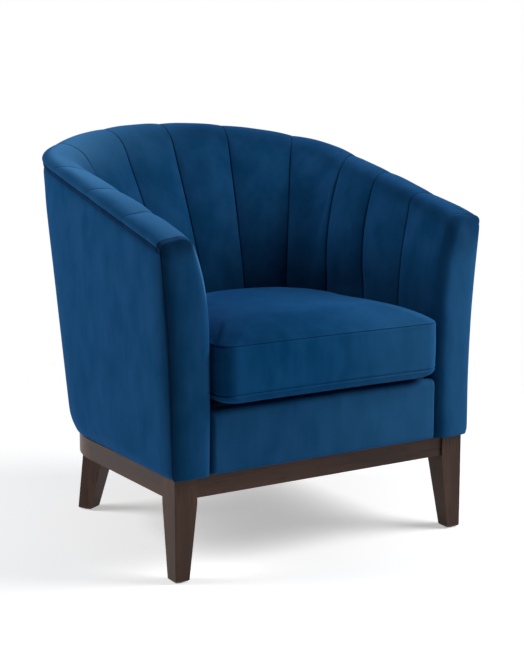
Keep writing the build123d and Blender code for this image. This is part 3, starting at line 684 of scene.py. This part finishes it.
# Outside panels: a padded skin that leans out and rolls into the seam behind each arm front
def make_panel(node, first, last, count, arm):
    """Panel between two shares of the way round; arm is -1 or 1 if it starts or ends at an arm front."""
    rows = 36
    face = [[] for _ in range(rows + 1)]
    back = [[] for _ in range(rows + 1)]
    seams = []
    for j in range(count + 1):
        s = 0.5 - 0.5 * math.cos(math.pi * j / count)
        s = 0.55 * s + 0.45 * j / count

        def at(height):
            half, straight, rear = tub_plan(height)
            begin, end = first(height), last(height)
            length = (end - begin) * 2 * plan_length(half, PANEL_START, straight, rear)[2]
            spot, outward = plan_walk(half, PANEL_START, straight, rear, begin + (end - begin) * s)
            return spot, outward, length * s, length * (1 - s)

        top = 600.0
        for _ in range(5):
            top = rim_height(at(top)[0].y) - PANEL_DROP
        for i in range(rows + 1):
            t = i / rows
            height = BASE_TOP + (top - BASE_TOP) * (0.5 * t + 0.5 * t * t * (3 - 2 * t))
            spot, outward, from_first, from_last = at(height)
            from_arm = {-1: from_first, 1: from_last, 0: 999.0}[arm]
            from_seam = {-1: from_last, 1: from_first, 0: min(from_first, from_last)}[arm]
            edge = min(rounded(top - height + 0.6, 12.0), rounded(from_seam + 0.6, 3.0))
            inset = foot_inset(height, spot.y) + 6.0 * (1 - edge)
            fuller = 2.4 * ease(from_arm, 60.0, 260.0) * ease(top - height, 10.0, 90.0)
            inset += 0.5 * edge * wobble((spot.x, spot.y, height), 120.0, 7.0) + 0.4 - fuller
            rolled = max(0.0, 1 - from_arm / 40.0) ** 2
            inset += rolled * (max(5.0, front_hollow(height)) + 1.6 * max(0.0, 1 - from_arm / 4.0))
            # Seam line at the arm front, with painted shade on the roll beside it.
            seams.append(max(0.9 * math.exp(-(from_arm / 1.6) ** 2), 0.4 * math.exp(-(from_arm / 18.0) ** 2)))
            place = spot - outward * min(inset, 9.2)
            under = spot - outward * max(9.9, foot_inset(height, spot.y) + 9.0)
            face[i].append((place.x, place.y, height))
            back[i].append((under.x, under.y, height))
    obj = slab(f"{node}_velvet", face, back, VELVET)
    near = [seams[j * (rows + 1) + i] for i in range(rows + 1) for j in range(count + 1)]
    mark(obj, "seam", near + near)
    return obj


def seam_place(height):
    """Share of the way round at which the outside seam stands on the rear arc."""
    half, straight, rear_y = tub_plan(height)
    rear = plan_arcs(half, rear_y - straight)[1]
    side, bend, total = plan_length(half, PANEL_START, straight, rear_y)
    turn = math.acos(PANEL_SEAM / rear) - math.pi / 4
    return (side + bend + rear * turn) / (2 * total)


panels = (
    ("outside_left", make_panel("outside_left", lambda z: 0.0, seam_place, 56, -1)),
    ("outside_back", make_panel("outside_back", seam_place, lambda z: 1 - seam_place(z), 44, 0)),
    ("outside_right", make_panel("outside_right", lambda z: 1 - seam_place(z), lambda z: 1.0, 56, 1)),
)


# Rim band: the narrow strip between the channels' outer seam and the panels, in a darker velvet as painted
# shade
def make_band():
    """Strip that follows the rim from arm to arm, slightly rounded across."""
    rows, cols = 6, 180
    face = [[] for _ in range(rows + 1)]
    back = [[] for _ in range(rows + 1)]
    for i in range(cols + 1):
        for k in range(rows + 1):
            height = 690.0
            for _ in range(5):
                half, straight, rear = tub_plan(height)
                spot, outward = plan_walk(half, ARM_FRONT, straight, rear, i / cols)
                height = rim_height(spot.y) - BAND_DROP + BAND_WIDTH * k / rows
            depth = 3.0 - 1.4 * math.sqrt(max(0.0, 1 - (2 * k / rows - 1) ** 2))
            outer, inner = spot - outward * depth, spot - outward * 6.4
            face[k].append((outer.x, outer.y, height))
            back[k].append((inner.x, inner.y, height))
    return slab("rim_band_velvet", face, back, SHADED_BAND_VELVET)


band = make_band()


# Arm facings: padded fronts whose inner edge rolls round into the first and last channels
def path_steps(path, shares):
    """Both ends of the step at each of some rising shares of a path's length, and how far along it."""
    lengths = [0.0]
    for a, b in zip(path, path[1:]):
        lengths.append(lengths[-1] + math.dist(a, b))
    steps, k = [], 0
    for share in shares:
        target = lengths[-1] * share
        while k < len(path) - 2 and lengths[k + 1] < target:
            k += 1
        steps.append((path[k], path[k + 1], (target - lengths[k]) / (lengths[k + 1] - lengths[k])))
    return steps


def resample(path, count, spread):
    """Points along a path at even or end-weighted spacing."""
    turns = [0.5 - 0.5 * math.cos(math.pi * i / count) for i in range(count + 1)]
    shares = [(1 - spread) * i / count + spread * turn for i, turn in enumerate(turns)]
    return [(a[0] + (b[0] - a[0]) * f, a[1] + (b[1] - a[1]) * f) for a, b, f in path_steps(path, shares)]


def path_distance(point, path):
    """Distance from a point to a path, and the share of the path's points at the nearest place."""
    best = (1e9, 0.0)
    for k, (a, b) in enumerate(zip(path, path[1:])):
        run, rise = b[0] - a[0], b[1] - a[1]
        f = ((point[0] - a[0]) * run + (point[1] - a[1]) * rise) / (run * run + rise * rise)
        f = max(0.0, min(1.0, f))
        distance = math.hypot(point[0] - a[0] - run * f, point[1] - a[1] - rise * f)
        best = min(best, (distance, (k + f) / (len(path) - 1)))
    return best


def make_facing(hand, side):
    """Front of one arm, filled between its inner edge, its crest, its outer seam and its foot."""
    rows, cols = 96, 30
    width = channel_width(0)
    number, distance = (0, 0.0) if hand < 0 else (CHANNELS - 1, width)
    profile = [(abs(x), z) for x, _, z in channel_face(number, distance, width)[0]]
    turn = round(ROLL_END[hand][0] * (len(profile) - 1))
    outer = []
    for i in range(41):
        height = BASE_TOP + (profile[-1][1] - BASE_TOP) * i / 40
        outer.append((tub_plan(height)[0] - 0.8 - front_hollow(height) - foot_inset(height, FRONT), height))
    inner = resample([FACING_FOOT] + profile[:turn + 1], rows, 0.65)
    crest = resample(profile[turn:], cols, 0.7)
    outer = resample(outer, rows, 0.65)
    foot = resample([inner[0], outer[0]], cols, 0.7)
    edge = [FACING_FOOT] + profile
    face, back, seams, painted_light = [], [], [], []
    for i in range(rows + 1):
        v = i / rows
        face_row, back_row = [], []
        for j in range(cols + 1):
            u = (foot[j][0] - foot[0][0]) / (foot[-1][0] - foot[0][0])
            x, z = (
                (1 - v) * foot[j][n] + v * crest[j][n] + (1 - u) * inner[i][n] + u * outer[i][n]
                - (1 - u) * (1 - v) * inner[0][n] - u * (1 - v) * outer[0][n]
                - (1 - u) * v * inner[-1][n] - u * v * outer[-1][n]
                for n in (0, 1)
            )
            from_edge, place = path_distance((x, z), edge)
            from_outer, _ = path_distance((x, z), outer)
            inside = 1 - ease(place, *ROLL_END[hand][1:])
            turned = max(-1.0, min(1.0, math.cos(ROLL_START) - from_edge / ROLL))
            rolled = ROLL * (math.sqrt(1 - max(0.0, turned) ** 2) - math.sin(ROLL_START))
            topped = 3.0 + 10.5 * rounded(from_edge, 7.0)
            depth = rolled * inside + topped * (1 - inside)
            ear = ease(z, 596.0, 606.0)
            depth = min(depth, 8.8 + 5.2 * rounded(from_outer + 0.2, 26.0))
            behind = 8.4 * ease(x, tub_plan(z)[0] - 13.0, tub_plan(z)[0] - 11.0) * (1 - ear)
            depth += 4.0 * rounded(from_edge, 48.0) * rounded(from_outer, 48.0)
            depth += 0.5 * wobble((x, 0, z), 70.0, 11.0 * hand) * ease(from_edge, 0.0, 20.0)
            depth *= 0.75 + 0.25 * rounded(z - BASE_TOP + 0.5, 5.0)
            behind = min(behind, max(depth, 0.4) - 0.3)
            face_row.append((hand * x, ARM_FRONT - max(depth, 0.4), z))
            back_row.append((hand * x, ARM_FRONT - 0.1 - behind, z))
            # Seam lines, with painted shade: the left facing darker near the top of its inner edge and beside
            # its outer seam, the right facing darker towards its top and along its inner roll.
            sewn = max(math.exp(-(from_outer / 1.4) ** 2), (1 - inside) * math.exp(-(from_edge / 2.0) ** 2))
            shade = (1 - inside) * math.exp(-(from_edge / 34.0) ** 2)
            corner = 0.35 * math.exp(-(from_outer / 26.0) ** 2)
            upper = max(0.32 * ease(z, 520.0, 600.0), 0.25 * (1 - ease(from_edge, 4.0, 24.0)))
            seams.append(max(0.95 * sewn, 0.6 * shade, corner) if hand < 0 else max(0.95 * sewn, upper))
            # Painted light: a highlight along the left facing's inner roll, and the right facing lighter away
            # from its inner edge.
            edge_highlight = 0.9 * math.exp(-((from_edge - 5.0) / 3.5) ** 2) * ease(place, 0.3, 0.45)
            edge_highlight *= 1 - ease(place, 0.66, 0.72)
            painted_light.append(0.14 * ease(from_edge, 14.0, 40.0) if hand > 0 else edge_highlight)
        face.append(face_row)
        back.append(back_row)
    obj = slab(f"arm_facing_{side}_velvet", face, back, VELVET)
    mark(obj, "seam", seams + seams)
    mark(obj, "nap", painted_light + painted_light)
    run_on(obj, [i * (cols + 1) for i in range(rows + 1)])
    return obj


facings = [("left", make_facing(-1, "left")), ("right", make_facing(1, "right"))]


# Front border under the cushion
def make_border():
    """Padded strip between the facings, from the base up to the cushion."""
    rows, cols = 26, 70
    face, back = [], []
    for i in range(rows + 1):
        height = BASE_TOP + BORDER_HEIGHT * (i / rows + 0.08 * math.sin(2 * math.pi * i / rows) / math.pi)
        face_row, back_row = [], []
        for j in range(cols + 1):
            s = 0.5 - 0.5 * math.cos(math.pi * j / cols)
            x = -BORDER_HALF + 2 * BORDER_HALF * (0.4 * s + 0.6 * j / cols)
            ends = 0.5 + 0.5 * rounded(BORDER_HALF + 0.4 - abs(x), 4.0)
            top = rounded(BASE_TOP + BORDER_HEIGHT + 0.6 - height, 12.0)
            foot = 0.6 + 0.4 * rounded(height - BASE_TOP + 0.5, 6.0)
            depth = (1.5 + 17.0 * ends * foot) * (0.25 + 0.75 * top)
            rise = min(1.0, (height - BASE_TOP) / BORDER_HEIGHT)
            depth += 3.5 * (1 - (x / 252.0) ** 2) * math.sin(math.pi * rise)
            depth += 0.5 * wobble((x, 0, height), 90.0, 5.0)
            face_row.append((x, FRONT + 7.5 - depth, height))
            back_row.append((x, FRONT + 9.5, height))
        face.append(face_row)
        back.append(back_row)
    obj = slab("front_border_velvet", face, back, VELVET)
    # Painted light: a little lighter everywhere, growing towards the right.
    mark(obj, "nap", [0.06 + 0.1 * ease(x, -100.0, 240.0) for row in face + back for x, _, _ in row])
    return obj


border = make_border()


# Seat cushion: rings of the D-shaped plan, stacked up a crowned profile
RING = 220


def cushion_outline(inset):
    """Points round the cushion's plan, from the middle of the front; the inmost rings are ovals."""
    half, start, back = CUSHION_HALF - inset, CUSHION_FRONT + inset, CUSHION_BACK - inset
    corner, rear = plan_arcs(half, back - CUSHION_STRAIGHT)
    bend = min(30.0, half * 0.5)
    right = [(half - bend) * i / 40 for i in range(40)]
    right = [(x, start + 4.0 * (1 - (x / half) ** 2)) for x in right]
    right += sweep(half - bend, start + bend, bend, -math.pi / 2, math.pi / 2, 16)[:-1]
    right += [(half, start + bend + (CUSHION_STRAIGHT - start - bend) * i / 20) for i in range(20)]
    right += sweep(half - corner, CUSHION_STRAIGHT, corner, 0.0, math.pi / 4, 24)[:-1]
    right += sweep(0.0, back - rear, rear, math.pi / 4, math.pi / 4, 24)
    path = right + [(-x, y) for x, y in reversed(right[1:-1])]
    path.append(path[0])
    steps = path_steps(path, [i / RING for i in range(RING)])
    points = [Vector(a).lerp(Vector(b), f) for a, b, f in steps]
    rounder = ease(inset, 90.0, 170.0)
    turns = [math.tau * i / RING - math.pi / 2 for i in range(RING)]
    ovals = [(half * math.cos(a), (start + back + (back - start) * math.sin(a)) / 2) for a in turns]
    return [tuple(point.lerp(Vector(oval), rounder)) for point, oval in zip(points, ovals)]


def cushion_profile():
    """Heights and insets from the middle of the underside, round the boxing, to the middle of the top."""
    rows = [(CUSHION_FOOT + 1.0, inset) for inset in (175, 160, 145, 128, 110, 90, 70, 55, 42, 32)]
    for i in range(1, 9):
        a = math.pi / 2 * i / 9
        rows.append((LOW_SEAM - 1 - 18.5 * math.cos(a), 26 - 25 * math.sin(a)))
    low = len(rows)
    boxing = 18
    for i in range(boxing + 1):
        rows.append((LOW_SEAM + (TOP_SEAM - LOW_SEAM) * i / boxing, 1 - math.sin(math.pi * i / boxing)))
    top = low + boxing
    for inset in (2.5, 5, 8.5, 13, 18, 24, 31, 39, 48, 58, 70, 84, 100, 118, 135, 150, 163, 175):
        rise = 1 - (1 - min(1.0, inset / 140.0)) ** 3.4
        rows.append((TOP_SEAM + (CUSHION_TOP - 3.0 - TOP_SEAM) * rise, inset))
    return rows, low, top


def make_cushion():
    """Stack the rings, swell them as cloth, then sew the seams into the swollen form."""
    rows, low, top = cushion_profile()
    loops = []
    for height, inset in rows:
        loops.append([(x, y, height + 1.2 * wobble((x, y, height), 130.0, 2.0) * (height > TOP_SEAM))
                      for x, y in cushion_outline(inset + 0.5)])
    body = tube("cushion_form", loops, VELVET_SEAT)
    seams = [row * RING + i for row in (low, top) for i in range(RING)]
    rest = [row * RING + i for row in range(8) for i in range(RING)]
    simulate([(body, seams + rest, 3.5, 6.0)])
    spots = [tuple(c / MM for c in vertex.co) for vertex in body.data.vertices]
    grid = [spots[row * RING:(row + 1) * RING] for row in range(len(rows))]
    bpy.data.objects.remove(body)
    return sew_cushion(grid, low, top)


def between(grid, row, i):
    """Smooth point between the rings of a column."""
    k = min(int(row), len(grid) - 2)
    f = row - k
    a, b, c, d = (grid[max(0, min(len(grid) - 1, k + n))][i] for n in (-1, 0, 1, 2))
    return tuple(
        0.5 * (2 * q + (r - p) * f + (2 * p - 5 * q + 4 * r - s) * f * f + (3 * q - p - 3 * r + s) * f ** 3)
        for p, q, r, s in zip(a, b, c, d)
    )


def sew_cushion(grid, low, top):
    """Add close rings beside each seam and draw the seams in; the low seam has a second line under it."""
    lines = ((top, 2.0), (low, 1.6), (low - 1.6, 0.5))
    rows = set(float(r) for r in range(len(grid)))
    for row, _ in lines:
        rows |= {row + d for d in (-0.7, -0.45, -0.22, 0.0, 0.22, 0.45, 0.7)}
    rows = sorted(rows)
    loops, seams, painted_light = [], [], []
    for row in rows:
        loop = []
        depth = sum(size * math.exp(-((row - line) / 0.26) ** 2) for line, size in lines)
        lip = sum(0.35 * size * math.exp(-((abs(row - line) - 0.85) / 0.4) ** 2) for line, size in lines)
        near = max(0.4 * size * math.exp(-((row - line) / 0.17) ** 2) for line, size in lines)
        for i in range(RING):
            x, y, z = between(grid, row, i)
            px, py, _ = between(grid, row, (i + 1) % RING)
            qx, qy, _ = between(grid, row, i - 1)
            size = math.hypot(px - qx, py - qy)
            shift = lip - depth
            loop.append((x + shift * (py - qy) / size, y - shift * (px - qx) / size, z))
            # Painted shade: the top darker towards the left. Painted light: the whole cover lighter towards
            # the right.
            dark = 0.16 * (1 - ease(x, -200.0, 120.0)) * (row > top)
            seams.append(max(0.7 * near, dark))
            painted_light.append(0.18 * ease(x, -60.0, 220.0))
        loops.append(loop)
    obj = tube("seat_cushion_velvet", loops, VELVET_SEAT)
    mark(obj, "seam", seams)
    mark(obj, "nap", painted_light)
    return obj


cushion = make_cushion()


# Deck and dust cover
def plan_edge(half, start, straight, back):
    """Points round a plan, from the left arm to the right."""
    count = 60
    spots = [plan_walk(half, start, straight, back, i / count)[0] for i in range(count + 1)]
    return [(spot.x, spot.y) for spot in spots]


def make_deck():
    """Flat pad under the cushion, with a rounded edge."""
    rows = ((298.2, 3.0), (298.6, 0.5), (306.0, 0.0), (317.0, 0.5),
            (320.5, 3.0), (321.6, 10.0), (321.8, 40.0))
    loops = []
    for height, inset in rows:
        start, back = FRONT + 11.0 + inset, FRONT + 416.0 - inset
        half = 240.0 - inset
        edge = plan_edge(half, start, CUSHION_STRAIGHT, back)
        edge += [(half - 2 * half * i / 20, start) for i in range(1, 20)]
        loops.append([(x, y, height) for x, y in edge])
    return tube("deck_pad_cloth", loops, DECK_CLOTH)


deck = make_deck()


def make_cover():
    """Black cloth tacked up inside the base, notched round the front legs, sagging a little in the middle."""
    notch, middle = FRONT + 47.0, FRONT + 300.0
    edge = plan_edge(COVER_HALF, notch, FRONT + 345.0, FRONT + 579.5) + [(COVER_NOTCH, notch)]
    edge += [(COVER_NOTCH * (1 - i / 10), FRONT + 25.0) for i in range(21)] + [(-COVER_NOTCH, notch)]
    size = len(edge)
    verts, faces = [], []
    for scale in (1.0, 0.95, 0.88, 0.8, 0.7, 0.6, 0.48, 0.36, 0.24, 0.12):
        height = COVER_LEVEL - COVER_SAG * max(0.0, 1 - (scale / 0.62) ** 2)
        if verts:
            start = len(verts)
            faces += [(start - size + i, start - size + (i + 1) % size, start + (i + 1) % size, start + i)
                      for i in range(size)]
        verts += [(x * scale, middle + (y - middle) * scale, height) for x, y in edge]
    obj = new_object("dust_cover_cloth", verts, faces + ladder(len(verts) - size, size), CLOTH)
    thick = obj.modifiers.new("cloth", "SOLIDIFY")
    thick.thickness = 0.6 * MM
    thick.offset = 0.0
    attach(obj, "chair")
    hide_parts("dust_cover")


make_cover()

# Swell the channels, then smooth the padded pieces, put each on its body and hide the CAD nodes it stands for
simulate([(obj, sewn, 2.2, 3.0) for obj, sewn in channels])
for number, (obj, _) in enumerate(channels):
    subdivide(obj)
    dress(obj, "chair", "velvet", f"channel_{number + 1:02d}")
for node, obj in panels:
    subdivide(obj)
    dress(obj, "chair", "velvet", node, fill=0.9)
dress(band, "chair", "velvet_band", "rim_band", fill=0.9)
for side, obj in facings:
    subdivide(obj)
    dress(obj, "chair", "velvet", f"arm_facing_{side}", fill=0.9)
subdivide(border)
dress(border, "chair", "velvet", "front_border", fill=0.9)
subdivide(cushion)
dress(cushion, "cushion", "velvet", "cushion_cover", "cushion_foam")
dress(deck, "chair", "deck_cloth", "deck_pad", fill=0.9)


# Hard pieces keep their CAD form, with eased edges on the wood
def finish_node(name, material, eased=0.0):
    """Give a CAD node its material and, where the wood shows, edges eased by some millimetres."""
    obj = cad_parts[name]
    obj.data.materials.clear()
    obj.data.materials.append(material)
    if eased:
        bevel = obj.modifiers.new("eased edges", "BEVEL")
        bevel.width = eased * MM
        bevel.segments = 2
        bevel.limit_method = "ANGLE"
        bevel.angle_limit = math.radians(40)


for side in ("left", "right"):
    finish_node(f"leg_front_{side}", WALNUT["z"], LEG_EDGE)
    finish_node(f"leg_rear_{side}", WALNUT["z"], LEG_EDGE)
    finish_node(f"side_rail_{side}", WALNUT["y"], RAIL_EDGE)
finish_node("front_rail", WALNUT["x"], RAIL_EDGE)
finish_node("back_rail", WALNUT["x"])
BOARDS = ("arm_post", "bottom_ring", "seat_ring", "rim_board", "seat_front_rail", "corner_blocks")
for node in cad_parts:
    if "_rib_" in node or node.startswith(BOARDS):
        finish_node(node, PLYWOOD)
for node in ("base_bolts", "tee_nuts", "leg_bolts", "zip_slider"):
    finish_node(node, STEEL)
for node in ("webbing_lengthwise", "webbing_crosswise", "cushion_zip"):
    finish_node(node, CLOTH)
finish_node("foot_glides", GLIDE)


# Camera, light and floor
def add_camera():
    """Camera fitted to the photograph: a focal length of 1552 pixels in a picture 650 pixels high."""
    data = bpy.data.cameras.new("camera")
    data.sensor_fit = "VERTICAL"
    data.sensor_height = 36.0
    data.lens = 1552.0 * data.sensor_height / 650.0
    camera = bpy.data.objects.new("camera", data)
    yaw, pitch = math.radians(32.0), math.radians(10.21)
    ahead = Vector((math.sin(yaw) * math.cos(pitch), math.cos(yaw) * math.cos(pitch), -math.sin(pitch)))
    camera.location = (-1.607, -2.344 + FRONT * MM, 0.956)
    camera.rotation_euler = ahead.to_track_quat("-Z", "Y").to_euler()
    scene.collection.objects.link(camera)
    scene.camera = camera


def add_lamp(name, place, size, power):
    """Round soft lamp aimed at the middle of the chair."""
    data = bpy.data.lights.new(name, "AREA")
    data.shape = "DISK"
    data.size = size
    data.energy = power
    lamp = bpy.data.objects.new(name, data)
    lamp.location = place
    lamp.rotation_euler = (Vector((0, 0, 0.45)) - Vector(place)).to_track_quat("-Z", "Y").to_euler()
    scene.collection.objects.link(lamp)


def camera_ray(tree):
    """Light path factor for what the camera, a mirror or glass sees."""
    path = add_node(tree, "LightPath")
    seen = path.outputs["Is Camera Ray"]
    for name in ("Is Glossy Ray", "Is Transmission Ray"):
        node = add_node(tree, "Math")
        node.operation = "MAXIMUM"
        feed(tree, seen, node.inputs[0])
        feed(tree, path.outputs[name], node.inputs[1])
        seen = node.outputs[0]
    return seen


def mix_shader(tree, factor, first, second):
    """Node that mixes the shaders of two nodes."""
    node = add_node(tree, "MixShader", Fac=factor)
    feed(tree, first.outputs[0], node.inputs[1])
    feed(tree, second.outputs[0], node.inputs[2])
    return node


def add_world():
    """White to the camera, and a faint cool light on the chair."""
    world = bpy.data.worlds.new("studio")
    scene.world = world
    world.use_nodes = True
    tree = world.node_tree
    tree.nodes.clear()
    shown = add_node(tree, "Background", Color=(1, 1, 1, 1))
    light = add_node(tree, "Background", Color=(0.86, 0.93, 1.0, 1), Strength=0.04)
    mix = mix_shader(tree, camera_ray(tree), light, shown)
    add_node(tree, "OutputWorld", Surface=mix.outputs[0])


def add_floor():
    """Pale floor that keeps the shadow near the chair and runs out to white."""
    mesh = bpy.data.meshes.new("floor")
    mesh.from_pydata([(-30, -30, 0), (30, -30, 0), (30, 30, 0), (-30, 30, 0)], [], [(0, 1, 2, 3)])
    floor = bpy.data.objects.new("floor", mesh)
    scene.collection.objects.link(floor)
    material, tree, shader, vector = new_material("floor")
    feed_named(tree, shader, Base_Color=(0.9, 0.9, 0.9, 1), Roughness=1.0, Specular_IOR_Level=0.0)
    glow = add_node(tree, "Emission", Strength=0.45)
    white = add_node(tree, "Emission", Strength=1.0)
    far = add_node(tree, "VectorMath", Vector=vector)
    far.operation = "LENGTH"
    near = add_node(tree, "AddShader")
    feed(tree, shader.outputs[0], near.inputs[0])
    feed(tree, glow.outputs[0], near.inputs[1])
    shown = mix_shader(tree, remap(tree, far.outputs["Value"], 0.6, 1.5, 0.0, 1.0), near, white)
    mix = mix_shader(tree, camera_ray(tree), shader, shown)
    feed_named(tree, tree.nodes["Material Output"], Surface=mix.outputs[0])
    mesh.materials.append(material)


add_camera()
add_lamp("key", (1.75, -1.3, 1.85), 1.6, 62)
add_lamp("rear", (-2.35, 1.25, 2.05), 1.8, 62)
add_world()
add_floor()
scene.view_settings.view_transform = "Standard"
